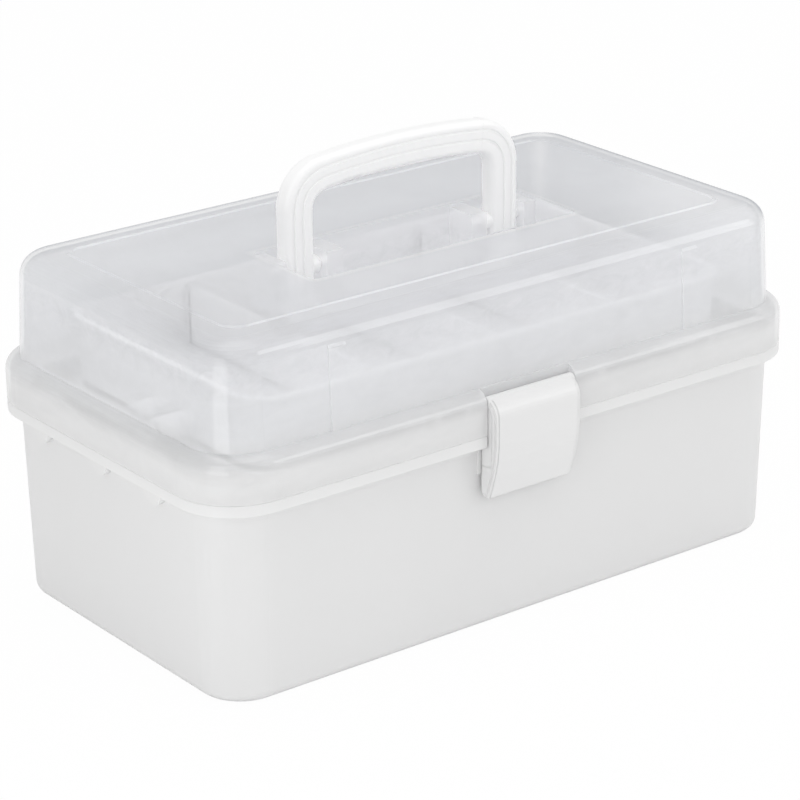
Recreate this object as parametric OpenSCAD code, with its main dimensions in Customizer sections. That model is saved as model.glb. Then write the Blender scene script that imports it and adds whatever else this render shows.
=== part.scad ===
// Three-layer art supply box: a tub with a clear hinged lid, two trays on swing arms that rise as
// the lid opens, a folding carry handle in a pocket of the lid, and a front latch.
// +X right, +Y back (the hinge side), +Z up. The origin is the centre of the underside.

/* [Box] */
// Length over the rim, left to right
box_l = 330; // [310:1:396]
// Depth over the rim, front to back
box_w = 186; // [180:1:224]
// Height of the seam between tub and lid
seam_z = 94.5; // [90:0.5:116]
// Height of the closed lid's top panel over the seam
lid_h = 66.5; // [66:0.5:80]
// Plan radius of the rim corners
rim_r = 29; // [26:0.5:34]
// Wall thickness of the tub
tub_wall = 2.2; // [1.8:0.1:3]
// Wall thickness of the clear lid
lid_wall = 2; // [1.6:0.1:2.6]

/* [Rim] */
// How far the rim stands out from the top of the tub wall
rim_out = 6.3; // [5:0.1:8]
// How far each wall of the tub leans in from rim to floor
tub_draft = 2; // [1:0.1:4]
// Height of the flat outer face of the tub's rim
rim_h = 5.5; // [4:0.5:7]
// Height of the tongue that stands inside the lid's skirt
tongue_h = 6.5; // [4:0.5:8]
// Thickness of the tongue
tongue_t = 2.2; // [1.6:0.1:3]
// Gap between the tongue and the lid's skirt
tongue_gap = 0.6; // [0.4:0.1:1]
// Gap at the seam, between rim and skirt
seam_gap = 0.2; // [0.2:0.1:0.6]

/* [Lid] */
// Height of the skirt from the seam to the start of its shoulder
skirt_h = 13.6; // [12:0.2:16]
// Radius of the shoulder over the skirt
shoulder_r = 6.5; // [5:0.1:7]
// How far each wall of the lid leans in from shoulder to top
lid_draft = 1.8; // [1:0.1:3]
// Radius of the lid's top edge
top_r = 10.5; // [8:0.5:12]
// Height of the bead round the top panel
bead_h = 0.8; // [0.5:0.1:1.2]
// Width of the bead round the top panel
bead_w = 3; // [2:0.2:4]
// Distance of the bead from the end and side walls
bead_in = 20; // [18:0.5:24]
// Distance from the middle of the two upright ribs on the lid's front and back walls
wall_rib_x = 98; // [84:1:112]
// Furthest that the lid opens, in degrees
lid_open = 120; // [100:1:120]

/* [Handle] */
// Width of the handle over its legs
handle_w = 130.6; // [110:0.2:132]
// Width of the handle's section, seen from the front
grip_w = 15.4; // [13:0.2:16]
// Thickness of the handle's section, front to back
grip_t = 9.5; // [8:0.1:10]
// Height of the handle's top over its pivot
handle_h = 51.5; // [44:0.5:52]
// Radius of the handle's bends, at mid section
bend_r = 15; // [12:0.5:18]
// Radius of the handle's pivot pins
handle_pin_r = 2.1; // [1.6:0.1:2.6]
// Angle that the handle folds forward, in degrees
handle_fold = 70; // [40:1:70]

/* [Handle pocket] */
// Length of the pocket, left to right
pocket_l = 148; // [146:1:156]
// Front edge of the pocket, forward of the handle's pivot
pocket_front = 36; // [34:0.5:40]
// Back edge of the pocket, behind the handle's pivot
pocket_back = 10; // [9:0.5:14]
// Depth of the pocket under the top panel
pocket_d = 21; // [19:0.5:24]
// Depth of the handle's pivot under the top panel
pivot_d = 7.7; // [7:0.1:9]

/* [Latch] */
// Width of the latch
latch_w = 48.4; // [36:0.2:50]
// Radius of the latch's pin
latch_pin_r = 1.25; // [1:0.05:1.6]
// Thickness of the latch plate
latch_t = 3; // [2.4:0.1:3.2]
// Width of the catch on the tub
catch_w = 36; // [24:1:40]
// Angle that the latch swings out, in degrees
latch_open = 100; // [60:1:100]

/* [Trays] */
// Length over a tray's rim
tray_l = 268; // [240:1:268]
// Depth over a tray's rim
tray_w = 152; // [140:1:152]
// Height of each tray
tray_h = 32; // [26:0.5:32]
// Depth of the lower tray's underside below the seam
tray_drop = 29.5; // [27:0.5:30]
// Gap between the stacked trays
stack_gap = 1.5; // [1:0.1:3]
// Wall and floor thickness of the trays
tray_wall = 1.8; // [1.4:0.1:2.2]
// Plan radius of a tray's corners
tray_r = 18; // [14:0.5:22]
// Thickness of the loose dividers
divider_t = 1.6; // [1.2:0.1:2]

/* [Swing arms] */
// Thickness of the arms and links
arm_t = 2; // [1.6:0.1:2.4]
// Width of the arms between their eyes
arm_w = 8; // [6:0.5:9]
// Radius of the eyes of the arms
eye_r = 5.5; // [4.5:0.1:6]
// Radius of the pins through the arms
arm_pin_r = 1.5; // [1.2:0.1:1.8]
// Place of the main arm's pivot on the tub, back from the middle
arm_y = 58; // [54:1:60]
// Depth of the main arm's pivot under the top of the tub's tongue
arm_drop = 7; // [7:0.5:9]
// Length of the lid links between their pivots
lid_link_l = 90; // [88:0.5:91]

/* [Hidden] */
$fn = 64;

white = "#f2f2f2";
milky = "#e6e6e6";
clear = "#d9e2e8";
steel = "#b8bcc0";

gap = 0.3;          // clearance between parts that move past each other
fit = 0.1;          // radial clearance of a pin in a turning bore
push = 0.02;        // radial clearance of a pin pushed into its seat
hair = 0.1;         // step between a run of the handle and its bends
eps = 0.01;

// Plan: the corner axes, from which every profile's first coordinate is measured
corner_x = box_l / 2 - rim_r;
corner_y = box_w / 2 - rim_r;

// Tub
lid_top_z = seam_z + lid_h;
rim_top = seam_z;
rim_low = seam_z - rim_h;
tub_r1 = rim_r - rim_out;
tub_r0 = tub_r1 - tub_draft;
foot_r = 4.9;
pad_r = 7;
pad_out = 2.9;
pad_y = [-39, 3, 50];
floor_t = 2.4;
floor_r = 3;
cove_r = rim_out - 0.6;
edge_r = 0.6;
tongue_out = rim_r - 2.8;
tongue_in = tongue_out - tongue_t;
tongue_top = seam_z + tongue_h;

// Lid
skirt_low = seam_z + seam_gap;
skirt_top = seam_z + skirt_h;
skirt_in = tongue_out + tongue_gap;
lid_r1 = rim_r - shoulder_r - 0.1;
lid_r0 = lid_r1 - lid_draft;
shoulder_z = skirt_top + shoulder_r;
top_z = lid_top_z - top_r;
wall_rib_w = 9;
wall_rib_out = 0.7;

// Handle and its pocket
pivot_z = lid_top_z - pivot_d;
pocket_floor = lid_top_z - pocket_d;
pocket_r = 4;
leg_x = (handle_w - grip_w) / 2;
leg_in = leg_x - grip_w / 2;
leg_out = leg_x + grip_w / 2;
inner_lug_w = 9;
inner_lug_gap = 4.6;
outer_lug_gap = 1.8;
lug_front = 6.5;
lug_top = lid_top_z - 1.2;
lug_bite = 5;
arch_r = 400;
leg_end_r = 6.9;
hub_r = 4.1;
hub_l = 3.8;
hub_edge = 1.5;
groove_r = 0.7;
groove_x = [6.5, 11.1];

// Hinge
hinge_y = box_w / 2 + 2.5;
hinge_z = seam_z + 0.5;
knuckle_r = 3.4;
hinge_pin_r = 1.5;
hinge_x = 95;
lid_knuckle_l = 12;
tub_knuckle_l = 8;
knuckle_gap = 0.4;
knuckle_clear = 0.5;

// Latch
front_y = -box_w / 2;
latch_bay_w = latch_w + 1.2;
bay_y = front_y + 5.4;
latch_y = front_y + 2.3;
latch_z = skirt_top + 0.7;
latch_knuckle_r = 2.7;
latch_front = front_y - 5;
latch_foot_z = seam_z - 30.5;
catch_z = seam_z - 14.5;
catch_h = 2.6;
catch_out = 2.2;
lug_w = 6.5;
rib_x = 44;
rib_w = 4;
latch_edge = 1.2;
latch_edge_w = 2.1;
latch_corner_r = 3.5;
cheek_t = 2.4;
cheek_back = bay_y - 0.3;

// Trays and arms, seen from the end: every pivot is [y, z]
tray_z = seam_z - tray_drop;
head_t = 0.6;
head_r = 3;
pin_seat = 5;
tray_corner_x = tray_l / 2 - tray_r;
tray_corner_y = tray_w / 2 - tray_r;
tray_draft = 1.5;
tray_rim = 1.2;
tray_end = tray_l / 2 - tray_rim - tray_draft;
tray_z2 = tray_z + tray_h + stack_gap;
divider_x = tray_l / 4;
arm_pivot = [arm_y, tongue_top - arm_drop];
lower_pivot = arm_pivot + [-56, -13];
upper_pivot = arm_pivot + [-82, 13];
lower_link_tub = arm_pivot + [-6, -11];
lower_link_tray = lower_link_tub + (lower_pivot - arm_pivot);
upper_link_low = lower_pivot + [21, 0];
upper_link_high = upper_link_low + (upper_pivot - lower_pivot);
lid_pivot = upper_pivot + [lid_link_l, 0];
link_eye_r = 4;
link_w = 6;
layer_in = tray_l / 2 + 10;
layer_arm = layer_in + arm_t + 2 * gap + head_t;
layer_lid = layer_arm + arm_t + 2 * gap + head_t;

function arc(c, r, a0, a1, n = 8) =
    [for (i = [0 : n]) c + r * [cos(a0 + (a1 - a0) * i / n), sin(a0 + (a1 - a0) * i / n)]];

function tub_r(z) = tub_r0 + tub_draft * z / (rim_low - cove_r);

// Sweeps a profile, drawn as distance out from the corner axis against height, round the plan
module round_plan(cx, cy) {
    for (mx = [0, 1], my = [0, 1])
        mirror([mx, 0, 0]) mirror([0, my, 0]) translate([cx, cy, 0]) rotate_extrude(angle = 90) children();
    for (mx = [0, 1])
        mirror([mx, 0, 0]) translate([cx, cy, 0]) rotate([90, 0, 0]) linear_extrude(2 * cy) children();
    for (my = [0, 1])
        mirror([0, my, 0]) translate([-cx, cy, 0]) rotate([90, 0, 90]) linear_extrude(2 * cx) children();
}

// A flat plate that fills the plan between the corner axes
module plan_plate(cx, cy, z, t) {
    translate([-cx, -cy, z]) cube([2 * cx, 2 * cy, t]);
}

// A rounded rectangle by its corners
module round_rect(x0, y0, x1, y1, r) {
    translate([x0 + r, y0]) square([x1 - x0 - 2 * r, y1 - y0]);
    translate([x0, y0 + r]) square([x1 - x0, y1 - y0 - 2 * r]);
    for (x = [x0 + r, x1 - r], y = [y0 + r, y1 - r]) translate([x, y]) circle(r);
}

// A cylinder along X between two x values, at [y, z]
module x_rod(x0, x1, p, r) {
    translate([min(x0, x1), p[0], p[1]]) rotate([90, 0, 90]) cylinder(h = abs(x1 - x0), r = r);
}

// A profile drawn as [y, z] and stretched along X
module x_slab(x0, x1) {
    translate([x0, 0, 0]) rotate([90, 0, 90]) linear_extrude(x1 - x0) children();
}

module both_ends() {
    children();
    mirror([1, 0, 0]) children();
}

module tub_profile() {
    inner_low = tub_r(floor_t) - tub_wall - floor_r;
    inner_top = tub_r1 - tub_wall;
    polygon(concat([[0, 0]],
        arc([tub_r(foot_r) - foot_r, foot_r], foot_r, -90, 0, 8),
        arc([rim_r - edge_r, rim_low - cove_r], cove_r, 180, 90, 8),
        arc([rim_r - edge_r, rim_low + edge_r], edge_r, -90, 0, 3),
        arc([rim_r - edge_r, rim_top - edge_r], edge_r, 0, 90, 3),
        [[tongue_out, rim_top]],
        arc([tongue_out - edge_r, tongue_top - edge_r], edge_r, 0, 90, 3),
        arc([tongue_in + edge_r, tongue_top - edge_r], edge_r, 90, 180, 3),
        [[tongue_in, rim_low + 2], [inner_top + 1, rim_low - 2], [inner_top, rim_low - cove_r]],
        arc([inner_low, floor_t + floor_r], floor_r, 0, -90, 6),
        [[0, floor_t]]));
}

// The straight wall behind the latch, where the rim is interrupted
module tub_bay_profile() {
    polygon([[bay_y, rim_low - cove_r - 8], [bay_y, tongue_top], [bay_y + tub_wall, tongue_top],
        [bay_y + tub_wall, rim_low - cove_r - 8]]);
}

module catch_profile() {
    polygon([[bay_y + 1, catch_z], [bay_y - catch_out, catch_z], [bay_y - catch_out, catch_z + 1],
        [bay_y + 1, catch_z + catch_h]]);
}

// Knuckle with a foot on the rim, from its left end at x
module tub_knuckle(x) {
    x_rod(x, x + tub_knuckle_l, [hinge_y, hinge_z], knuckle_r);
    x_slab(x, x + tub_knuckle_l)
        polygon([[hinge_y - 5, rim_low], [hinge_y, rim_low + 1], [hinge_y + 3, hinge_z - 1],
            [hinge_y, hinge_z], [hinge_y - 5, hinge_z - 1]]);
}

// Half-round pads that stiffen the rim from below, on the end walls
module rim_pads() {
    wall = corner_x + tub_r1;
    for (y = pad_y) x_slab(wall - 1, wall + pad_out)
        polygon(arc([y, rim_low - 0.5], pad_r, 180, 360, 16));
}

function tub_knuckles() = [hinge_x - lid_knuckle_l / 2 - knuckle_gap - tub_knuckle_l,
    hinge_x + lid_knuckle_l / 2 + knuckle_gap];

module tub() {
    color(milky) difference() {
        union() {
            difference() {
                union() {
                    round_plan(corner_x, corner_y) tub_profile();
                    plan_plate(corner_x, corner_y, 0, floor_t);
                }
                translate([-latch_bay_w / 2, front_y - 1, rim_low - cove_r - 7])
                    cube([latch_bay_w, bay_y - front_y + 1, 30]);
                both_ends() x_rod(hinge_x - lid_knuckle_l / 2 - knuckle_gap,
                    hinge_x + lid_knuckle_l / 2 + knuckle_gap, [hinge_y, hinge_z], knuckle_r + knuckle_clear);
            }
            x_slab(-latch_bay_w / 2 - 1, latch_bay_w / 2 + 1) tub_bay_profile();
            x_slab(-catch_w / 2, catch_w / 2) catch_profile();
            both_ends() for (x = tub_knuckles()) tub_knuckle(x);
            both_ends() {
                rim_pads();
                x_rod(layer_arm + arm_t + gap, corner_x + tongue_in + 1, arm_pivot, eye_r);
                x_rod(layer_arm + arm_t + gap, corner_x + tub_r1 - tub_wall + 1, lower_link_tub, link_eye_r);
            }
        }
        both_ends() {
            x_rod(hinge_x - 20, hinge_x + 20, [hinge_y, hinge_z], hinge_pin_r + push);
            for (p = [arm_pivot, lower_link_tub])
                x_rod(layer_arm, layer_arm + arm_t + gap + pin_seat + 0.2, p, arm_pin_r + push);
        }
    }
}

module lid_profile() {
    inner_r = top_r - lid_wall;
    fillet_x = lid_r0 - top_r;
    shoulder_x = rim_r - shoulder_r;
    polygon(concat([[skirt_in, skirt_low], [rim_r, skirt_low]],
        arc([shoulder_x, skirt_top], shoulder_r, 0, 90, 8),
        [[lid_r1, shoulder_z]],
        arc([fillet_x, top_z], top_r, 0, 90, 10),
        [[0, lid_top_z], [0, lid_top_z - lid_wall]],
        arc([fillet_x, top_z], inner_r, 90, 0, 10),
        [[lid_r1 - lid_wall, shoulder_z - 1]],
        arc([shoulder_x, skirt_top], shoulder_r - (rim_r - skirt_in), 90, 0, 6)));
}

module bead() {
    x = corner_x + lid_r0 - bead_in;
    y = corner_y + lid_r0 - bead_in;
    r = 8;
    round_plan(x - r, y - r)
        polygon([[r - bead_w / 2, lid_top_z - 0.3], [r - bead_w / 2 + 0.6, lid_top_z + bead_h],
            [r + bead_w / 2 - 0.6, lid_top_z + bead_h], [r + bead_w / 2, lid_top_z - 0.3]]);
}

// Fills the hollow behind the shoulder, from inside the skirt to the latch bay's wall
module shoulder_rib_profile() {
    bite = 1;
    y = front_y + shoulder_r;
    back = bay_y + 1;
    polygon(concat([[back, skirt_low + 7], [front_y + bite, skirt_low + 7]],
        arc([y, skirt_top], shoulder_r - bite, 180, 90, 6),
        [[back, shoulder_z - bite]]));
}

// An upright rib on the front and back walls, faded out into the rounding of the top edge
module wall_rib(x) {
    for (m = [0, 1]) mirror([0, m, 0]) x_slab(x - wall_rib_w / 2, x + wall_rib_w / 2)
        polygon([[corner_y + lid_r1 - 1, shoulder_z - 1], [corner_y + lid_r1 + wall_rib_out, shoulder_z - 1],
            [corner_y + lid_r0 + wall_rib_out, top_z], [corner_y + lid_r0 - 1, top_z + 3]]);
}

module lid_knuckle() {
    x0 = hinge_x - lid_knuckle_l / 2;
    x_rod(x0, x0 + lid_knuckle_l, [hinge_y, hinge_z], knuckle_r);
    x_slab(x0, x0 + lid_knuckle_l)
        polygon([[hinge_y - 4, skirt_low], [hinge_y, hinge_z], [hinge_y + 3.2, hinge_z + 1],
            [hinge_y - 1, hinge_z + 8], [hinge_y - 4, hinge_z + 9]]);
}

module pocket_shape(grow) {
    round_rect(-pocket_l / 2 - grow, -pocket_front - grow, pocket_l / 2 + grow, pocket_back + grow,
        pocket_r + grow);
}

// The lug that holds a handle pin, standing on the pocket floor against its back wall
module pocket_lug(x0, x1) {
    translate([x0, -lug_front, pocket_floor - eps]) cube([x1 - x0, lug_front + pocket_back + 0.5, lug_top - pocket_floor]);
}

module lid() {
    color(clear, 0.45) difference() {
        union() {
            difference() {
                union() {
                    round_plan(corner_x, corner_y) lid_profile();
                    plan_plate(corner_x, corner_y, lid_top_z - lid_wall, lid_wall);
                    bead();
                    translate([0, 0, pocket_floor - lid_wall]) linear_extrude(pocket_d + lid_wall - eps)
                        pocket_shape(lid_wall);
                }
                translate([0, 0, pocket_floor]) linear_extrude(pocket_d + 5) pocket_shape(0);
                translate([-latch_bay_w / 2, front_y - 1, skirt_low - 1])
                    cube([latch_bay_w, bay_y - front_y + 1, shoulder_z - skirt_low + 2]);
                both_ends() for (x = tub_knuckles())
                    x_rod(x - knuckle_gap, x + tub_knuckle_l + knuckle_gap, [hinge_y, hinge_z],
                        knuckle_r + knuckle_clear);
            }
            x_slab(-latch_bay_w / 2 - 1, latch_bay_w / 2 + 1)
                polygon([[bay_y, tongue_top + 0.4], [bay_y, shoulder_z], [bay_y + lid_wall, shoulder_z],
                    [bay_y + lid_wall, tongue_top + 0.4]]);
            both_ends() {
                x_slab(latch_bay_w / 2, latch_bay_w / 2 + lug_w) shoulder_rib_profile();
                x_slab(rib_x, rib_x + rib_w) shoulder_rib_profile();
                lid_knuckle();
                wall_rib(wall_rib_x);
                pocket_lug(leg_in - inner_lug_gap - inner_lug_w, leg_in - inner_lug_gap);
                pocket_lug(leg_out + outer_lug_gap, pocket_l / 2 + 0.5);
                x_rod(layer_lid + arm_t + gap, corner_x + skirt_in + 0.6, lid_pivot, link_eye_r);
            }
        }
        x_rod(1.5 - latch_bay_w / 2 - lug_w, latch_bay_w / 2 + lug_w - 1.5, [latch_y, latch_z], latch_pin_r + push);
        both_ends() {
            x_rod(leg_in - inner_lug_gap - lug_bite, pocket_l / 2 - 1, [0, pivot_z], handle_pin_r + fit);
            x_rod(hinge_x - 10, hinge_x + 10, [hinge_y, hinge_z], hinge_pin_r + fit);
            x_rod(layer_lid, layer_lid + arm_t + gap + pin_seat + 0.2, lid_pivot, arm_pin_r + push);
        }
    }
}

module hinge_pin() {
    l = lid_knuckle_l + 2 * tub_knuckle_l + 2 * knuckle_gap;
    x_rod(hinge_x - l / 2, hinge_x + l / 2, [hinge_y, hinge_z], hinge_pin_r);
}

module right_hinge_pin() {
    color(steel) hinge_pin();
}

module left_hinge_pin() {
    color(steel) mirror([1, 0, 0]) hinge_pin();
}

// Side view of the latch plate: it bows out over the rim and ends in a hooked foot. The inset
// draws the outer face closer to the pin.
module latch_profile(inset) {
    top = latch_z + latch_knuckle_r - 0.3;
    bow = 8.5;
    front = latch_front + inset;
    outer = concat([[latch_y, top - inset]],
        arc([latch_front + bow, top - bow], bow - inset, 90, 180, 8),
        [[front, seam_z - 4], [front + 0.9, seam_z - 12], [front + 2.6, seam_z - 19],
         [front + 4.6, seam_z - 25], [front + 6.2, latch_foot_z + 0.6], [front + 7, latch_foot_z]]);
    inner = [[latch_front + 8.6, latch_foot_z + 1.2], [latch_front + 7.6, seam_z - 25],
        [latch_front + 5.4, seam_z - 19.4], [latch_front + 4.7, catch_z - 3.4],
        [bay_y - 0.8, catch_z - 2.6], [bay_y - 0.8, catch_z - 0.5], [latch_front + 3.6, catch_z - 0.5],
        [latch_front + latch_t + 0.3, seam_z - 12], [latch_front + latch_t, seam_z - 4]];
    inside = arc([latch_front + bow, top - bow], bow - latch_t, 180, 90, 6);
    polygon(concat(outer, inner, inside, [[latch_y, top - latch_t]]));
}

// Cheek that closes the side of the latch under the rim, from the plate back to the tub's wall
module latch_cheek_profile() {
    polygon([[latch_front + 2.6, catch_z + 1], [cheek_back - 1.6, catch_z - 1], [cheek_back, catch_z - 5],
        [cheek_back, latch_foot_z + 3], [latch_front + 8.3, latch_foot_z + 1], [latch_front + 5.6, seam_z - 25],
        [latch_front + 3.6, seam_z - 19]]);
}

module latch() {
    half = latch_w / 2;
    color(white) difference() {
        intersection() {
            union() {
                x_slab(latch_edge_w - half, half - latch_edge_w) latch_profile(0);
                x_slab(latch_edge_w / 3 - half, half - latch_edge_w / 3) latch_profile(latch_edge / 3);
                x_slab(-half, half) latch_profile(latch_edge);
                x_rod(-half, half, [latch_y, latch_z], latch_knuckle_r);
                both_ends() x_slab(half - cheek_t, half - 0.1) latch_cheek_profile();
            }
            translate([0, bay_y + 5, 0]) rotate([90, 0, 0]) linear_extrude(30)
                round_rect(-half - 0.2, latch_foot_z - 0.2, half + 0.2, latch_z + 8, latch_corner_r);
        }
        x_rod(-latch_w, latch_w, [latch_y, latch_z], latch_pin_r + fit);
    }
}

module latch_pin() {
    l = latch_bay_w / 2 + lug_w - 2;
    color(steel) x_rod(-l, l, [latch_y, latch_z], latch_pin_r);
}

// Section of the handle: rounded corners, with two grooves front and back
module grip_section(inset = 0) {
    r = 2.6;
    w = grip_w / 2 - inset;
    t = grip_t / 2 - inset;
    $fn = 20;
    difference() {
        round_rect(-w, -t, w, t, r);
        for (x = groove_x, y = [-grip_t / 2, grip_t / 2])
            translate([x - grip_w / 2, y]) circle(groove_r + inset);
    }
}

// The hub on the inner face of a leg, turned about the pivot
module leg_hub() {
    translate([leg_in + 1, 0, pivot_z]) rotate([0, -90, 0]) rotate_extrude()
        polygon(concat([[0, 0], [hub_r, 0]], arc([hub_r - hub_edge, hub_l + 1 - hub_edge], hub_edge, 0, 90, 4),
            [[0, hub_l + 1]]));
}

// A leg, rounded at its end about the pivot
module leg(top) {
    intersection() {
        translate([leg_x, 0, pivot_z - leg_end_r]) linear_extrude(top - pivot_z + leg_end_r) grip_section(hair);
        union() {
            x_rod(leg_in - 1, leg_out + 1, [0, pivot_z], leg_end_r);
            translate([leg_in - 1, -grip_t, pivot_z]) cube([grip_w + 2, 2 * grip_t, handle_h]);
        }
    }
}

// The top bar is a shallow arch. It and the legs are a hair thinner than the bends and run a
// little way into them.
module handle() {
    run_in = 0.6;
    lean = asin((leg_x - bend_r) / (arch_r - bend_r));
    more = run_in / arch_r * 180 / PI;
    arch_z = pivot_z + handle_h - grip_w / 2 - arch_r;
    bend_z = arch_z + (arch_r - bend_r) * cos(lean);
    color(white) difference() {
        union() {
            translate([0, 0, arch_z]) rotate([90, 0, 0]) rotate([0, 0, 90 - lean - more])
                rotate_extrude(angle = 2 * (lean + more), $fn = 360) translate([arch_r, 0]) grip_section(hair);
            both_ends() {
                translate([leg_x - bend_r, 0, bend_z]) rotate([90, 0, 0])
                    rotate_extrude(angle = 90 - lean) translate([bend_r, 0]) grip_section();
                leg(bend_z + run_in);
                leg_hub();
            }
        }
        both_ends() x_rod(leg_in - hub_l - 1, leg_out + 1, [0, pivot_z], handle_pin_r + push);
    }
}

module handle_pins() {
    color(white) both_ends()
        x_rod(leg_in - inner_lug_gap - lug_bite + 0.5, leg_out + outer_lug_gap + 4, [0, pivot_z], handle_pin_r);
}

function tray_out(z) = tray_r - tray_draft * (1 - z / tray_h);

// Tray wall: a drafted wall with a small rim, drawn from its underside
module tray_profile() {
    foot = 2.6;
    polygon(concat([[0, 0]],
        arc([tray_out(0) - foot - tray_rim, foot], foot, -90, 0, 5),
        [[tray_r - tray_rim, tray_h - 3], [tray_r, tray_h - 2.2], [tray_r, tray_h],
         [tray_r - tray_rim - tray_wall, tray_h]],
        arc([tray_out(0) - tray_rim - tray_wall - 2, tray_wall + 2], 2, 0, -90, 4),
        [[0, tray_wall]]));
}

// Pairs of thin ribs that hold a divider, on the front and back walls
module divider_ribs(xs) {
    wall_y = tray_corner_y + tray_out(0) - tray_rim - tray_wall;
    for (x = xs, s = [-1, 1], m = [0, 1]) mirror([0, m, 0])
        translate([x + s * (divider_t / 2 + gap + 0.6) - 0.6, wall_y - 1.4, tray_wall - eps])
            cube([1.2, 3, tray_h - tray_wall - 3]);
}

module tray_body(z) {
    translate([0, 0, z]) {
        round_plan(tray_corner_x, tray_corner_y) tray_profile();
        plan_plate(tray_corner_x, tray_corner_y, 0, tray_wall);
        divider_ribs([-divider_x, 0, divider_x]);
    }
}

// A boss on the end wall of a tray, up to the arm at x
module tray_boss(p, x, r) {
    x_rod(tray_end - 0.5, x - gap, p, r);
}

// The bore of a boss for the pin through the arm at x
module boss_bore(p, x) {
    x_rod(tray_end + 0.8, x + 1, p, arm_pin_r + push);
}

module lower_tray() {
    color(milky) difference() {
        union() {
            tray_body(tray_z);
            both_ends() {
                tray_boss(lower_pivot, layer_arm, eye_r);
                tray_boss(lower_link_tray, layer_arm, link_eye_r);
                tray_boss(upper_link_low, layer_in, eye_r);
            }
        }
        both_ends() {
            boss_bore(lower_pivot, layer_arm);
            boss_bore(lower_link_tray, layer_arm);
            boss_bore(upper_link_low, layer_in);
        }
    }
}

module upper_tray() {
    color(milky) difference() {
        union() {
            tray_body(tray_z2);
            both_ends() {
                tray_boss(upper_pivot, layer_arm, eye_r);
                tray_boss(upper_link_high, layer_in, eye_r);
            }
        }
        both_ends() {
            boss_bore(upper_pivot, layer_arm);
            boss_bore(upper_link_high, layer_in);
        }
    }
}

// A loose divider that follows the tray's section, with a finger dip in its top edge
module divider(x, z) {
    low = tray_corner_y + tray_out(0) - tray_rim - tray_wall - gap;
    top = tray_corner_y + tray_r - tray_rim - tray_wall - gap;
    translate([0, 0, z]) x_slab(x - divider_t / 2, x + divider_t / 2) difference() {
        polygon([[-low + 2, tray_wall], [low - 2, tray_wall], [low, tray_wall + 2], [top, tray_h - 2],
            [-top, tray_h - 2], [-low, tray_wall + 2]]);
        translate([0, tray_h + 8]) circle(16);
    }
}

module lower_tray_dividers() {
    color(milky) for (x = [-divider_x, 0, divider_x]) divider(x, tray_z);
}

module upper_tray_dividers() {
    color(milky) for (x = [-divider_x, 0, divider_x]) divider(x, tray_z2);
}

// A flat arm: an eye at each point and a bar between each pair of points
module arm_shape(points, r, w, hole) {
    difference() {
        union() {
            for (p = points) translate(p) circle(r);
            for (i = [0 : len(points) - 2]) {
                d = points[i + 1] - points[i];
                translate(points[i]) rotate(atan2(d[1], d[0])) translate([0, -w / 2]) square([norm(d), w]);
            }
        }
        for (p = points) translate(p) circle(hole);
    }
}

module main_arm() {
    x_slab(layer_arm, layer_arm + arm_t)
        arm_shape([arm_pivot, lower_pivot, upper_pivot], eye_r, arm_w, arm_pin_r + fit);
}

module left_main_arm() {
    color(white) mirror([1, 0, 0]) main_arm();
}

module right_main_arm() {
    color(white) main_arm();
}

module lower_link() {
    x_slab(layer_arm, layer_arm + arm_t)
        arm_shape([lower_link_tub, lower_link_tray], link_eye_r, link_w, arm_pin_r + fit);
}

module left_lower_link() {
    color(white) mirror([1, 0, 0]) lower_link();
}

module right_lower_link() {
    color(white) lower_link();
}

module upper_link() {
    x_slab(layer_in, layer_in + arm_t)
        arm_shape([upper_link_low, upper_link_high], eye_r, arm_w, arm_pin_r + fit);
}

module left_upper_link() {
    color(white) mirror([1, 0, 0]) upper_link();
}

module right_upper_link() {
    color(white) upper_link();
}

module lid_link() {
    x_slab(layer_lid, layer_lid + arm_t)
        arm_shape([lid_pivot, upper_pivot], link_eye_r, link_w, arm_pin_r + fit);
}

module left_lid_link() {
    color(white) mirror([1, 0, 0]) lid_link();
}

module right_lid_link() {
    color(white) lid_link();
}

// A headed pin through an arm at x, pushed into the boss outside the arm
module outward_pin(p, x, seat) {
    x_rod(x - gap - head_t, x - gap, p, head_r);
    x_rod(x - gap, x + arm_t + gap + seat, p, arm_pin_r);
}

// A headed pin through an arm at x, pushed into the boss inside the arm
module inward_pin(p, x, seat) {
    x_rod(x + arm_t + gap, x + arm_t + gap + head_t, p, head_r);
    x_rod(x - gap - seat, x + arm_t + gap, p, arm_pin_r);
}

module tub_pins() {
    color(steel) both_ends() {
        outward_pin(arm_pivot, layer_arm, pin_seat);
        outward_pin(lower_link_tub, layer_arm, pin_seat);
    }
}

module lower_tray_pins() {
    color(steel) both_ends() {
        inward_pin(lower_pivot, layer_arm, layer_arm - gap - tray_end - 1);
        inward_pin(lower_link_tray, layer_arm, layer_arm - gap - tray_end - 1);
        inward_pin(upper_link_low, layer_in, layer_in - gap - tray_end - 1);
    }
}

// The pins of the main arms have no head and run on to the eyes of the lid links
module upper_tray_pins() {
    color(steel) both_ends() {
        x_rod(tray_end + 1, layer_lid - gap, upper_pivot, arm_pin_r);
        inward_pin(upper_link_high, layer_in, layer_in - gap - tray_end - 1);
    }
}

module lid_link_pins() {
    color(steel) both_ends() outward_pin(lid_pivot, layer_lid, pin_seat);
}

tub();
lid();
left_hinge_pin();
right_hinge_pin();
latch();
latch_pin();
handle();
handle_pins();
lower_tray();
upper_tray();
lower_tray_dividers();
upper_tray_dividers();
left_main_arm();
right_main_arm();
left_lower_link();
right_lower_link();
left_upper_link();
right_upper_link();
left_lid_link();
right_lid_link();
tub_pins();
lower_tray_pins();
upper_tray_pins();
lid_link_pins();
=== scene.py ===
"""Art supply box: its plastics and metals, the latch's cheeks, the ruler on its lid, the studio and
the camera."""
import math

import bmesh
import bpy
from mathutils import Matrix, Vector


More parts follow.
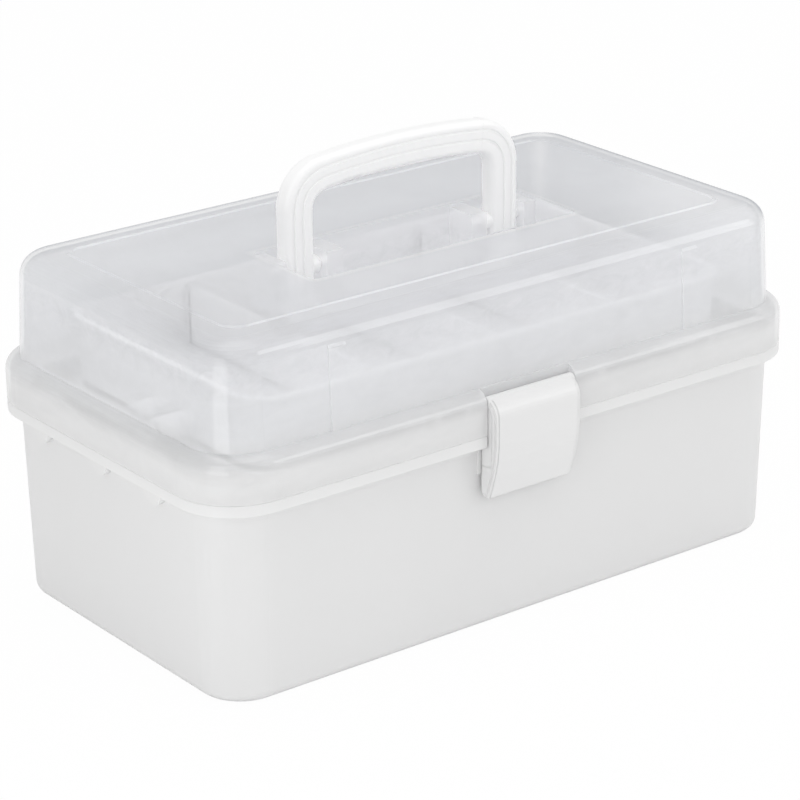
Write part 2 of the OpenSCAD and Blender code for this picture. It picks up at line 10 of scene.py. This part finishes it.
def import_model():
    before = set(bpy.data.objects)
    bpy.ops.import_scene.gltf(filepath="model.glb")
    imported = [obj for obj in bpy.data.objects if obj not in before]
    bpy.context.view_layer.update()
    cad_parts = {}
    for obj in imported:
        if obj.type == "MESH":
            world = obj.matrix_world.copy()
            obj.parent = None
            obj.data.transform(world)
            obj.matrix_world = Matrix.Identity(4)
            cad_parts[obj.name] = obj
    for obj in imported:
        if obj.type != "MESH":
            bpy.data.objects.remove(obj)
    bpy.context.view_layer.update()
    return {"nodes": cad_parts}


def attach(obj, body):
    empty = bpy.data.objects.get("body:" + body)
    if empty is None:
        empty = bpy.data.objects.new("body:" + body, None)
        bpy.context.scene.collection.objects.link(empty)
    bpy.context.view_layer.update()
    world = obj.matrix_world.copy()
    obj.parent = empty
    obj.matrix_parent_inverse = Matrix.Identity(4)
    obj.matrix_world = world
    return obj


MM = 0.001
WHITE = "#FFFFFF"
# node settings that are used more than once
MULTIPLY = {"operation": "MULTIPLY"}
MAXIMUM = {"operation": "MAXIMUM"}
COLOURS = {"data_type": "RGBA"}

# The lid. Lists are stops of (where, level there), and pairs are where a change starts and ends,
# in metres.
# share of light that the wall scatters, and how cloudy that is, against height
HAZE_UP_THE_LID = [(0.09, 0.9), (0.105, 0.9), (0.111, 0.76), (0.136, 0.68), (0.145, 0.52),
                   (0.151, 0.48), (0.158, 0.42), (0.162, 0.42)]
CLOUDS_UP_THE_LID = [(0.09, 0.01), (0.135, 0.02), (0.143, 0.08), (0.149, 0.1), (0.152, 0.0)]
HAZE_OF_POCKET = 0.5
# how much darker the rear wall makes what passes, from left to right, and the right end, from front
# to back
DARKENING_ACROSS = [(-0.15, 0.3), (-0.06, 0.75), (0.0, 0.9), (0.1, 1.0), (0.15, 1.0)]
DARKENING_ALONG = [(-0.02, 0.0), (0.0, 0.25), (0.03, 1.0), (0.08, 1.0)]
# where the rear wall and the right end begin, for their darkening and for the painted shade on
# their top rounding
REAR_DARKENING, END_DARKENING = (0.078, 0.082), (0.148, 0.152)
REAR_ROUNDING, END_ROUNDING = (0.072, 0.078), (0.143, 0.149)
# heights at which the painted shade on the top rounding begins, the colour turns bluer and more
# light passes through
ROUNDING_HEIGHT, BLUER_HEIGHT, THROUGH_HEIGHT = (0.1535, 0.157), (0.106, 0.122), (0.12, 0.15)
# where the walls of the handle's pocket are, from the middle outwards and from front to back
POCKET_ACROSS = [(0.0, 1.0), (0.072, 1.0), (0.077, 0.0)]
POCKET_DEEP = [(-0.04, 0.0), (-0.035, 1.0), (0.009, 1.0), (0.014, 0.0)]
# the ruler on the rear wall: its first stroke's top, the step to the next, and a stroke's lean
RULER_START = (-0.110, 0.08256, 0.151)
RULER_STEP = 0.0032
RULER_LEAN = (0.0040, 0.00024, -0.0045)
RULER_STROKES = 71
RULER_RADIUS = 0.22 * MM
# the strip of wall that holds the ruler's strokes
RULER_HIGH = [(0.1468, 0.0), (0.1472, 1.0), (0.1508, 1.0), (0.1512, 0.0)]
RULER_SPAN = [(-0.112, 0.0), (-0.111, 1.0), (0.116, 1.0), (0.117, 0.0)]
RULER_WALL = (0.078, 0.08)

# The latch's cheeks: their outline as (y, z) and the two sides of each in x, in millimetres
CHEEK_OUTLINE = [(-95.2, 77.6), (-95.4, 81), (-95.5, 90), (-95.5, 102), (-94.6, 105.4),
                 (-92.4, 107.0), (-88.6, 107.0), (-87.95, 106.2), (-87.95, 74.5), (-89.5, 74.5)]
CHEEK_SIDES = [(-24.06, -21.9), (21.9, 24.06)]
CHEEK_ROUNDING = 0.4
SHARP_EDGE = 1.2  # an edge that turns by more than this, in radians, is rounded

# The studio. Each softbox is its name, place, aim, width and height in metres, and watts.
SOFTBOXES = [
    ("overhead", (0.0, -0.1, 1.7), (0, 0, 0.08), 1.5, 1.5, 7),
    ("front_left", (-1.85, -0.9, 0.9), (0, 0, 0.08), 0.9, 1.2, 5.2),
    ("front_right", (1.4, -1.5, 0.9), (0, 0, 0.08), 0.9, 1.2, 6),
    ("corner_card", (-0.4, -0.21, 0.05), (-0.15, -0.08, 0.12), 0.17, 0.09, 0.07),
]
SURROUNDINGS = 0.72  # how strongly the world lights the object
PAPER_WHITE_SHARE = 0.97  # how much of what is seen of the paper is overexposed
PAPER_HALF_WIDTH = 4.0
PAPER_DROP = 0.2 * MM

# The camera: azimuth, elevation and roll in degrees, its aim and distance, and its lens in mm
CAMERA_ANGLES = (-37.318, 21.341, -0.661)
CAMERA_AIM = Vector((-0.889, 0.0, 77.105)) * MM
CAMERA_DISTANCE = 1403.463 * MM
CAMERA_LENS, CAMERA_SENSOR = 137.86, 36
CAMERA_REACH = 50

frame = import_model()
nodes = frame["nodes"]


# ---------------------------------------------------------------- nodes

def linear(hex_colour):
    """An sRGB hex colour as linear RGBA."""
    channels = [int(hex_colour[i:i + 2], 16) / 255 for i in (1, 3, 5)]
    return [c / 12.92 if c <= 0.04045 else ((c + 0.055) / 1.055) ** 2.4 for c in channels] + [1.0]


def add(tree, kind, settings=None, **inputs):
    """Adds a node. settings are its properties. inputs are set by name, with _ for a space, or by
    number as in0, in1 and so on. Each is a value, a socket, or a node, whose first output is
    linked."""
    node = tree.nodes.new(kind)
    for name, value in (settings or {}).items():
        setattr(node, name, value)
    for name, value in inputs.items():
        by_number = name[:2] == "in" and name[2:].isdigit()
        socket = node.inputs[int(name[2:]) if by_number else name.replace("_", " ")]
        if isinstance(value, bpy.types.Node):
            value = value.outputs[0]
        if isinstance(value, bpy.types.NodeSocket):
            tree.links.new(value, socket)
        else:
            socket.default_value = value
    return node


def new_material(name):
    material = bpy.data.materials.new(name)
    material.use_nodes = True
    material.node_tree.nodes.clear()
    return material, material.node_tree


def place_of(tree, scale=(1, 1, 1)):
    """Object coordinates, stretched by scale, as a pattern runs along the flow of the melt."""
    coordinates = add(tree, "ShaderNodeTexCoord").outputs["Object"]
    return add(tree, "ShaderNodeMapping", Vector=coordinates, Scale=scale)


def along(tree, value, stops):
    """A value that runs through stops, each of them (where along value, the level there)."""
    first, last = stops[0][0], stops[-1][0]
    share = add(tree, "ShaderNodeMapRange", Value=value, From_Min=first, From_Max=last)
    ramp = add(tree, "ShaderNodeValToRGB", Fac=share)
    marks = ramp.color_ramp.elements
    while len(marks) < len(stops):
        marks.new(0.5)
    for mark, (where, level) in zip(marks, stops):
        mark.position = (where - first) / (last - first)
        mark.color = (level, level, level, 1)
    return ramp


# ---------------------------------------------------------------- the lid's material

def mirror_share(tree, weakest, strongest):
    """How much a polished skin mirrors: weakest where it is met straight on, strongest at a grazing
    angle, on both of its sides alike."""
    facing = add(tree, "ShaderNodeLayerWeight", Blend=0.5).outputs["Facing"]
    steep = add(tree, "ShaderNodeMath", {"operation": "POWER"}, in0=facing, in1=4.0)
    return add(tree, "ShaderNodeMapRange", Value=steep, To_Min=weakest, To_Max=strongest)


def ruler_painted_lensing(tree, where):
    """1 over the lid and 0.2 along the ruler's strokes: there the haze and the darkening thin out,
    painted light for the bright backdrop that the raised strokes lens."""
    drop = add(tree, "ShaderNodeMath", {"operation": "SUBTRACT"},
               in0=RULER_START[2], in1=where["Z"])
    slid = add(tree, "ShaderNodeMath", MULTIPLY, in0=drop, in1=RULER_LEAN[0] / RULER_LEAN[2])
    along_row = add(tree, "ShaderNodeMath", {"operation": "ADD"}, in0=where["X"], in1=slid)
    count = add(tree, "ShaderNodeMapRange", {"clamp": False}, Value=along_row,
                From_Min=RULER_START[0], From_Max=RULER_START[0] + RULER_STEP)
    off = add(tree, "ShaderNodeMath", {"operation": "PINGPONG"}, in0=count, in1=0.5)
    stroke = add(tree, "ShaderNodeMapRange", Value=off, From_Min=0.06, From_Max=0.12,
                 To_Min=1.0, To_Max=0.0)
    rear = add(tree, "ShaderNodeMapRange", Value=where["Y"],
               From_Min=RULER_WALL[0], From_Max=RULER_WALL[1])
    in_strip = add(tree, "ShaderNodeMath", MULTIPLY,
                   in0=stroke, in1=along(tree, where["Z"], RULER_HIGH))
    in_span = add(tree, "ShaderNodeMath", MULTIPLY,
                  in0=along(tree, where["X"], RULER_SPAN), in1=rear)
    here = add(tree, "ShaderNodeMath", MULTIPLY, in0=in_strip, in1=in_span)
    return add(tree, "ShaderNodeMapRange", Value=here, To_Min=1.0, To_Max=0.2)


def in_pocket(tree, where):
    """1 in the walls of the handle's pocket and 0 elsewhere."""
    side = add(tree, "ShaderNodeMath", {"operation": "ABSOLUTE"}, in0=where["X"])
    return add(tree, "ShaderNodeMath", MULTIPLY, in0=along(tree, side, POCKET_ACROSS),
               in1=along(tree, where["Y"], POCKET_DEEP))


def lid_haze(tree, where, drift, pocket, painted_lensing):
    """The share of light that the sheet scatters, with cloudy flow marks about 9 mm across."""
    clouds = add(tree, "ShaderNodeTexNoise", Vector=place_of(tree, (0.7, 1, 1.3)), Scale=110,
                 Detail=5, Roughness=0.62, Distortion=0.6)
    puffs = add(tree, "ShaderNodeMapRange", Value=clouds, From_Min=0.3, From_Max=0.7,
                To_Min=-1.0, To_Max=1.0)
    uneven = add(tree, "ShaderNodeMath", {"operation": "MULTIPLY_ADD"}, in0=puffs,
                 in1=along(tree, where["Z"], CLOUDS_UP_THE_LID), in2=1.0)
    thick = add(tree, "ShaderNodeMix", in0=pocket,
                in2=along(tree, where["Z"], HAZE_UP_THE_LID), in3=HAZE_OF_POCKET)
    slow = add(tree, "ShaderNodeMapRange", Value=drift, From_Min=0.3, From_Max=0.7,
               To_Min=0.97, To_Max=1.03)
    cloudy = add(tree, "ShaderNodeMath", MULTIPLY, in0=thick, in1=uneven)
    drifting = add(tree, "ShaderNodeMath", MULTIPLY, in0=cloudy, in1=slow)
    return add(tree, "ShaderNodeMath", MULTIPLY, in0=drifting, in1=painted_lensing)


def lid_far_wall_darkening(tree, where, painted_lensing):
    """How much darker the rear wall and the right end make what passes through them."""
    on_rear = add(tree, "ShaderNodeMapRange", Value=where["Y"],
                  From_Min=REAR_DARKENING[0], From_Max=REAR_DARKENING[1])
    on_end = add(tree, "ShaderNodeMapRange", Value=where["X"],
                 From_Min=END_DARKENING[0], From_Max=END_DARKENING[1])
    rear = add(tree, "ShaderNodeMath", MULTIPLY,
               in0=on_rear, in1=along(tree, where["X"], DARKENING_ACROSS))
    end = add(tree, "ShaderNodeMath", MULTIPLY,
              in0=on_end, in1=along(tree, where["Y"], DARKENING_ALONG))
    most = add(tree, "ShaderNodeMath", MAXIMUM, in0=rear, in1=end)
    return add(tree, "ShaderNodeMath", MULTIPLY, in0=most, in1=painted_lensing)


def lid_painted_edge_shade(tree, where):
    """1 on the top rounding of the rear wall and the right end, which is seen edge on: there a
    painted shade darkens both what passes and what the skin mirrors."""
    near_rear = add(tree, "ShaderNodeMapRange", Value=where["Y"],
                    From_Min=REAR_ROUNDING[0], From_Max=REAR_ROUNDING[1])
    near_end = add(tree, "ShaderNodeMapRange", Value=where["X"],
                   From_Min=END_ROUNDING[0], From_Max=END_ROUNDING[1])
    behind = add(tree, "ShaderNodeMath", MAXIMUM, in0=near_rear, in1=near_end)
    high = add(tree, "ShaderNodeMapRange", Value=where["Z"],
               From_Min=ROUNDING_HEIGHT[0], From_Max=ROUNDING_HEIGHT[1])
    return add(tree, "ShaderNodeMath", MULTIPLY, in0=behind, in1=high)


def lid_cloud(tree, where, drift, pocket, normal):
    """The haze as a shader: it sends light back, and near the top it lets more of it through."""
    upper = add(tree, "ShaderNodeMix", COLOURS, in0=drift,
                in6=linear("#F3F4F6"), in7=linear("#F5F6F8")).outputs[2]
    upper = add(tree, "ShaderNodeMix", COLOURS, in0=pocket,
                in6=upper, in7=linear("#FCFCFD")).outputs[2]
    lower = add(tree, "ShaderNodeMix", COLOURS, in0=drift,
                in6=linear("#F6F6F6"), in7=linear("#F8F8F8")).outputs[2]
    bluer = add(tree, "ShaderNodeMapRange", Value=where["Z"],
                From_Min=BLUER_HEIGHT[0], From_Max=BLUER_HEIGHT[1])
    colour = add(tree, "ShaderNodeMix", COLOURS, in0=bluer, in6=lower, in7=upper).outputs[2]
    front = add(tree, "ShaderNodeBsdfDiffuse", Color=colour, Normal=normal)
    through = add(tree, "ShaderNodeBsdfTranslucent", Color=colour, Normal=normal)
    share = add(tree, "ShaderNodeMapRange", Value=where["Z"], From_Min=THROUGH_HEIGHT[0],
                From_Max=THROUGH_HEIGHT[1], To_Min=0.25, To_Max=0.55)
    return add(tree, "ShaderNodeMixShader", in0=share, in1=front, in2=through)


def clear_sheet():
    """Clear polystyrene, injection moulded in a polished mould: a glassy skin over a grey-blue
    haze. The haze is thick in the skirt and shoulder, thinner up the walls and thinnest in the top
    panel, with cloudy flow marks near the top and a slow ripple where the sheet shrank. What
    passes through the rear wall and the right end is made a little darker. Painted shade darkens
    the top rounding of those walls, which is seen edge on, and the ruler's strokes are painted
    clearer, as painted light for the bright backdrop lensed through them. Each sheet acts on its
    near face, and its far face lets everything past."""
    material, tree = new_material("clear_polystyrene_lid")
    place = place_of(tree)
    where = add(tree, "ShaderNodeSeparateXYZ", Vector=place).outputs
    drift = add(tree, "ShaderNodeTexNoise", Vector=place_of(tree, (1, 1, 3)), Scale=24, Detail=2,
                Roughness=0.5, Distortion=0.3)
    ripple = add(tree, "ShaderNodeTexNoise", Vector=place, Scale=18, Detail=1, Roughness=0.4)
    normal = add(tree, "ShaderNodeBump", Height=ripple, Distance=0.12 * MM, Strength=0.35)
    pocket = in_pocket(tree, where)
    # painted light: the ruler's strokes are made clearer, for the bright backdrop lensed through
    # them
    painted_lensing = ruler_painted_lensing(tree, where)
    painted_edge_shade = lid_painted_edge_shade(tree, where)

    # this only darkens what passes through the rear wall and the right end
    darker_passage = add(tree, "ShaderNodeMix", COLOURS, in0=lid_far_wall_darkening(tree, where, painted_lensing),
                in6=linear("#FEFEFF"), in7=linear("#CDD0D5")).outputs[2]
    # painted shade: the top rounding of the rear wall and the right end passes a darker colour
    shade = add(tree, "ShaderNodeMix", COLOURS, in0=painted_edge_shade,
                in6=darker_passage, in7=linear("#C2C5CA")).outputs[2]
    passed = add(tree, "ShaderNodeBsdfTransparent", Color=shade)
    body = add(tree, "ShaderNodeMixShader", in0=lid_haze(tree, where, drift, pocket, painted_lensing),
               in1=passed, in2=lid_cloud(tree, where, drift, pocket, normal))
    # painted shade: what the skin mirrors on that rounding is darker too
    skin = add(tree, "ShaderNodeMix", COLOURS, in0=painted_edge_shade,
               in6=linear(WHITE), in7=linear("#C9CCD1")).outputs[2]
    polish = add(tree, "ShaderNodeMapRange", Value=drift, From_Min=0.3, From_Max=0.7,
                 To_Min=0.05, To_Max=0.09)
    gloss = add(tree, "ShaderNodeBsdfGlossy", Color=skin, Roughness=polish, Normal=normal)
    near = add(tree, "ShaderNodeMixShader", in0=mirror_share(tree, 0.05, 0.8),
               in1=body, in2=gloss)
    far = add(tree, "ShaderNodeNewGeometry").outputs["Backfacing"]
    open_face = add(tree, "ShaderNodeBsdfTransparent", Color=linear(WHITE))
    sheet = add(tree, "ShaderNodeMixShader", in0=far, in1=near, in2=open_face)
    add(tree, "ShaderNodeOutputMaterial", Surface=sheet)
    return material


def raised_stroke():
    """Ridges of clear polystyrene: most of the light goes through them, and their round backs are
    rubbed white."""
    material, tree = new_material("clear_polystyrene_ridges")
    grain = add(tree, "ShaderNodeTexNoise", Vector=place_of(tree), Scale=900, Detail=2,
                Roughness=0.5)
    worn = add(tree, "ShaderNodeMapRange", Value=grain, From_Min=0.3, From_Max=0.7,
               To_Min=0.1, To_Max=0.2)
    clear = add(tree, "ShaderNodeBsdfTransparent", Color=linear(WHITE))
    rubbed = add(tree, "ShaderNodeBsdfTranslucent", Color=linear(WHITE))
    ridge = add(tree, "ShaderNodeMixShader", in0=worn, in1=clear, in2=rubbed)
    add(tree, "ShaderNodeOutputMaterial", Surface=ridge)
    return material


# ---------------------------------------------------------------- the other materials

def moulded_skin(tree, cloud_scale, grain_scale, dark, light, roughness):
    """What moulded polypropylene shares: a slow drift between two shades, and a fine grain that
    varies its gloss. Returns the shader inputs for these, and the grain."""
    place = place_of(tree)
    cloud = add(tree, "ShaderNodeTexNoise", Vector=place, Scale=cloud_scale, Detail=2,
                Roughness=0.4)
    grain = add(tree, "ShaderNodeTexNoise", Vector=place, Scale=grain_scale, Detail=2,
                Roughness=0.6)
    colour = add(tree, "ShaderNodeMix", COLOURS, in0=cloud,
                 in6=linear(dark), in7=linear(light)).outputs[2]
    matt = add(tree, "ShaderNodeMapRange", Value=grain, From_Min=0.3, From_Max=0.7,
               To_Min=roughness - 0.02, To_Max=roughness + 0.03)
    return {"Base_Color": colour, "Roughness": matt}, grain


def milky_polypropylene(name, dark, light, roughness, depth_mm):
    """Natural polypropylene, injection moulded: milky, light scatters depth_mm into it, with a fine
    eggshell skin, 0.7 mm across, that blurs what it reflects."""
    material, tree = new_material(name)
    skin, grain = moulded_skin(tree, 9, 1400, dark, light, roughness)
    eggshell = add(tree, "ShaderNodeBump", Height=grain, Distance=0.01 * MM, Strength=0.3)
    reach = depth_mm * MM
    shader = add(tree, "ShaderNodeBsdfPrincipled", IOR=1.49, Subsurface_Weight=0.4,
                 Subsurface_Radius=(reach, reach, reach), Subsurface_Scale=1.0,
                 Normal=eggshell, **skin)
    add(tree, "ShaderNodeOutputMaterial", Surface=shader)
    return material


def white_plastic(name, dark, light, roughness, edge_mm=0.0):
    """White polypropylene, pigmented and injection moulded: opaque and evenly glossy, with a fine
    grain, 0.9 mm across, and a slow drift in its shade. edge_mm softens its edges, as polishing a
    mould does."""
    material, tree = new_material(name)
    skin, grain = moulded_skin(tree, 12, 1100, dark, light, roughness)
    relief = add(tree, "ShaderNodeBump", Height=grain, Distance=0.006 * MM, Strength=0.3)
    if edge_mm:
        soft = add(tree, "ShaderNodeBevel", {"samples": 6}, Radius=edge_mm * MM)
        tree.links.new(soft.outputs["Normal"], relief.inputs["Normal"])
    reach = 2 * MM
    shader = add(tree, "ShaderNodeBsdfPrincipled", IOR=1.5, Subsurface_Weight=0.2,
                 Subsurface_Radius=(reach, reach, reach), Subsurface_Scale=1.0,
                 Normal=relief, **skin)
    add(tree, "ShaderNodeOutputMaterial", Surface=shader)
    return material


def drawn_wire():
    """Drawn steel wire, bright zinc plated: fine scratches, 0.4 mm apart, run along it."""
    material, tree = new_material("zinc_plated_wire")
    lines = add(tree, "ShaderNodeTexNoise", Vector=place_of(tree, (0.05, 1, 1)), Scale=2500,
                Detail=3, Roughness=0.6)
    colour = add(tree, "ShaderNodeMix", COLOURS, in0=lines,
                 in6=linear("#AEB1B4"), in7=linear("#CFD2D4")).outputs[2]
    matt = add(tree, "ShaderNodeMapRange", Value=lines, From_Min=0.3, From_Max=0.7,
               To_Min=0.22, To_Max=0.4)
    scratches = add(tree, "ShaderNodeBump", Height=lines, Distance=0.01 * MM, Strength=0.4)
    shader = add(tree, "ShaderNodeBsdfPrincipled", Base_Color=colour, Metallic=1.0,
                 Roughness=matt, Normal=scratches)
    add(tree, "ShaderNodeOutputMaterial", Surface=shader)
    return material


LATCH_WHITE = white_plastic("white_polypropylene_latch", "#E6E6E6", "#EBEBEB", 0.3, 0.8)


def dress(material, *names):
    for name in names:
        mesh = nodes[name].data
        mesh.materials.clear()
        mesh.materials.append(material)


def dress_nodes():
    dress(clear_sheet(), "lid")
    dress(milky_polypropylene("milky_polypropylene_tub", "#E5E5E5", "#E9E9E9", 0.34, 5), "tub")
    # the trays are the tub's milky polypropylene, given a whiter shade than the tub as painted
    # light that lifts the shade inside the lid
    dress(milky_polypropylene("milky_polypropylene_trays_painted_lighter", "#F7F7F8", "#FBFBFC", 0.4, 8),
          "lower_tray", "upper_tray", "lower_tray_dividers", "upper_tray_dividers")
    dress(white_plastic("white_polypropylene_handle", "#FAFAFA", "#FDFDFD", 0.3),
          "handle", "handle_pins")
    dress(LATCH_WHITE, "latch")
    dress(white_plastic("white_polypropylene_arms", "#EDEEEF", "#F2F3F4", 0.4),
          "left_main_arm", "right_main_arm", "left_lower_link", "right_lower_link",
          "left_upper_link", "right_upper_link", "left_lid_link", "right_lid_link")
    dress(drawn_wire(), "left_hinge_pin", "right_hinge_pin", "latch_pin", "tub_pins",
          "lower_tray_pins", "upper_tray_pins", "lid_link_pins")


# ---------------------------------------------------------------- added pieces

def new_piece(name, mesh, material, body):
    piece = bpy.data.objects.new(name, mesh)
    bpy.context.scene.collection.objects.link(piece)
    mesh.materials.clear()
    mesh.materials.append(material)
    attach(piece, body)


def latch_cheeks():
    """The latch's two side walls above its hook, plates 2.2 mm thick that close it back to the
    bay."""
    shape = bmesh.new()
    for sides in CHEEK_SIDES:
        rings = [[shape.verts.new((x * MM, y * MM, z * MM)) for y, z in CHEEK_OUTLINE]
                 for x in sides]
        shape.faces.new(reversed(rings[0]))
        shape.faces.new(rings[1])
        for i in range(len(CHEEK_OUTLINE)):
            j = (i + 1) % len(CHEEK_OUTLINE)
            shape.faces.new((rings[0][i], rings[0][j], rings[1][j], rings[1][i]))
    bmesh.ops.recalc_face_normals(shape, faces=shape.faces)
    rims = [edge for edge in shape.edges
            if len(edge.link_faces) == 2 and edge.calc_face_angle() > SHARP_EDGE]
    bmesh.ops.bevel(shape, geom=rims, offset=CHEEK_ROUNDING * MM, segments=3, affect="EDGES",
                    profile=0.5)
    mesh = bpy.data.meshes.new("latch_cheeks")
    shape.to_mesh(mesh)
    shape.free()
    new_piece("latch_cheeks", mesh, LATCH_WHITE, "front_latch")


def stroke_row():
    """Geometry nodes: a row of equal round ridges, each leaning across the row."""
    tree = bpy.data.node_groups.new("stroke_row", "GeometryNodeTree")
    tree.interface.new_socket("Geometry", in_out="OUTPUT", socket_type="NodeSocketGeometry")
    for name, kind in (("Strokes", "Int"), ("Start", "Vector"), ("Step", "Vector"),
                       ("Lean", "Vector"), ("Radius", "Float"), ("Material", "Material")):
        tree.interface.new_socket(name, in_out="INPUT", socket_type="NodeSocket" + kind)
    given = add(tree, "NodeGroupInput").outputs
    row = add(tree, "GeometryNodeMeshLine", Count=given["Strokes"],
              Start_Location=given["Start"], Offset=given["Step"])
    line = add(tree, "GeometryNodeCurvePrimitiveLine", End=given["Lean"])
    section = add(tree, "GeometryNodeCurvePrimitiveCircle", Resolution=8, Radius=given["Radius"])
    ridge = add(tree, "GeometryNodeCurveToMesh", Curve=line, Profile_Curve=section,
                Fill_Caps=True)
    strokes = add(tree, "GeometryNodeInstanceOnPoints", Points=row, Instance=ridge)
    real = add(tree, "GeometryNodeRealizeInstances", Geometry=strokes)
    dressed = add(tree, "GeometryNodeSetMaterial", Geometry=real, Material=given["Material"])
    add(tree, "NodeGroupOutput", in0=dressed)
    return tree


def grown(name, tree, settings):
    """The mesh that a geometry node tree makes with these settings."""
    host = bpy.data.objects.new(name, bpy.data.meshes.new(name))
    bpy.context.scene.collection.objects.link(host)
    modifier = host.modifiers.new(name, "NODES")
    modifier.node_group = tree
    for socket in tree.interface.items_tree:
        if socket.in_out == "INPUT":
            modifier[socket.identifier] = settings[socket.name]
    bpy.context.view_layer.update()
    depsgraph = bpy.context.evaluated_depsgraph_get()
    mesh = bpy.data.meshes.new_from_object(host.evaluated_get(depsgraph))
    mesh.name = name
    bpy.data.objects.remove(host)
    return mesh


def lid_graduations():
    """A row of plain slanting strokes on the lid's rear wall, near its top, 3.2 mm apart."""
    mesh = grown("lid_graduations", stroke_row(), {
        "Strokes": RULER_STROKES, "Start": RULER_START, "Step": (RULER_STEP, 0.0, 0.0),
        "Lean": RULER_LEAN, "Radius": RULER_RADIUS, "Material": raised_stroke()})
    # Known fault: the baked mesh hands back an empty material here, so raised_stroke's never
    # reaches the ridges. The fix is to keep its result in a name and pass that instead.
    new_piece("lid_graduations", mesh, mesh.materials[0], "cover")


# ---------------------------------------------------------------- studio

def seen_directly(tree):
    """1 for rays from the camera, straight or through clear pieces, and 0 for the light that
    reaches the object."""
    path = add(tree, "ShaderNodeLightPath").outputs
    return add(tree, "ShaderNodeMath", MAXIMUM,
               in0=path["Is Camera Ray"], in1=path["Is Transmission Ray"])


def paper_floor():
    """Matt white paper sweep: it takes the object's shadow, and most of what is seen of it is the
    white that it is overexposed to."""
    material, tree = new_material("white_paper_sweep")
    share = add(tree, "ShaderNodeMath", MULTIPLY, in0=seen_directly(tree),
                in1=PAPER_WHITE_SHARE)
    paper = add(tree, "ShaderNodeBsdfPrincipled", Base_Color=linear("#F6F6F6"), Roughness=0.9)
    glow = add(tree, "ShaderNodeEmission", Strength=1.0)
    sweep = add(tree, "ShaderNodeMixShader", in0=share, in1=paper, in2=glow)
    add(tree, "ShaderNodeOutputMaterial", Surface=sweep)
    return material


def floor():
    half = PAPER_HALF_WIDTH
    corners = [(-half, -half, 0), (half, -half, 0), (half, half, 0), (-half, half, 0)]
    mesh = bpy.data.meshes.new("paper_floor")
    mesh.from_pydata(corners, [], [(0, 1, 2, 3)])
    sheet = bpy.data.objects.new("paper_floor", mesh)
    sheet.location.z = -PAPER_DROP
    bpy.context.scene.collection.objects.link(sheet)
    mesh.materials.append(paper_floor())


def world():
    """Even white surroundings, at 1 where the camera sees them."""
    surroundings = bpy.data.worlds.new("white_studio")
    bpy.context.scene.world = surroundings
    surroundings.use_nodes = True
    tree = surroundings.node_tree
    tree.nodes.clear()
    around = add(tree, "ShaderNodeBackground", Color=linear(WHITE), Strength=SURROUNDINGS)
    behind = add(tree, "ShaderNodeBackground", Color=linear(WHITE), Strength=1.0)
    mix = add(tree, "ShaderNodeMixShader", in0=seen_directly(tree), in1=around, in2=behind)
    add(tree, "ShaderNodeOutputWorld", Surface=mix)


def softbox(name, place, aim, width, height, watts):
    lamp = bpy.data.lights.new(name, "AREA")
    lamp.shape = "RECTANGLE"
    lamp.size = width
    lamp.size_y = height
    lamp.energy = watts
    box = bpy.data.objects.new(name, lamp)
    bpy.context.scene.collection.objects.link(box)
    facing = (Vector(aim) - Vector(place)).to_track_quat("-Z", "Y").to_matrix().to_4x4()
    box.matrix_world = Matrix.Translation(place) @ facing
    box.visible_camera = False


# ---------------------------------------------------------------- camera

def camera():
    """A long lens from the front left, a little above the box."""
    azimuth, elevation, roll = (math.radians(angle) for angle in CAMERA_ANGLES)
    back = Vector((math.sin(azimuth) * math.cos(elevation),
                   -math.cos(azimuth) * math.cos(elevation), math.sin(elevation)))
    right = Vector((math.cos(azimuth), math.sin(azimuth), 0))
    up = back.cross(right)
    turned_right = right * math.cos(roll) + up * math.sin(roll)
    turned_up = up * math.cos(roll) - right * math.sin(roll)
    turned = Matrix((turned_right, turned_up, back)).transposed().to_4x4()
    lens = bpy.data.cameras.new("camera")
    lens.lens = CAMERA_LENS
    lens.sensor_width = CAMERA_SENSOR
    lens.clip_end = CAMERA_REACH
    eye = bpy.data.objects.new("camera", lens)
    bpy.context.scene.collection.objects.link(eye)
    eye.matrix_world = Matrix.Translation(CAMERA_AIM + back * CAMERA_DISTANCE) @ turned
    bpy.context.scene.camera = eye


dress_nodes()
latch_cheeks()
lid_graduations()
floor()
world()
for lamp_settings in SOFTBOXES:
    softbox(*lamp_settings)
camera()
bpy.context.scene.view_settings.view_transform = "Standard"
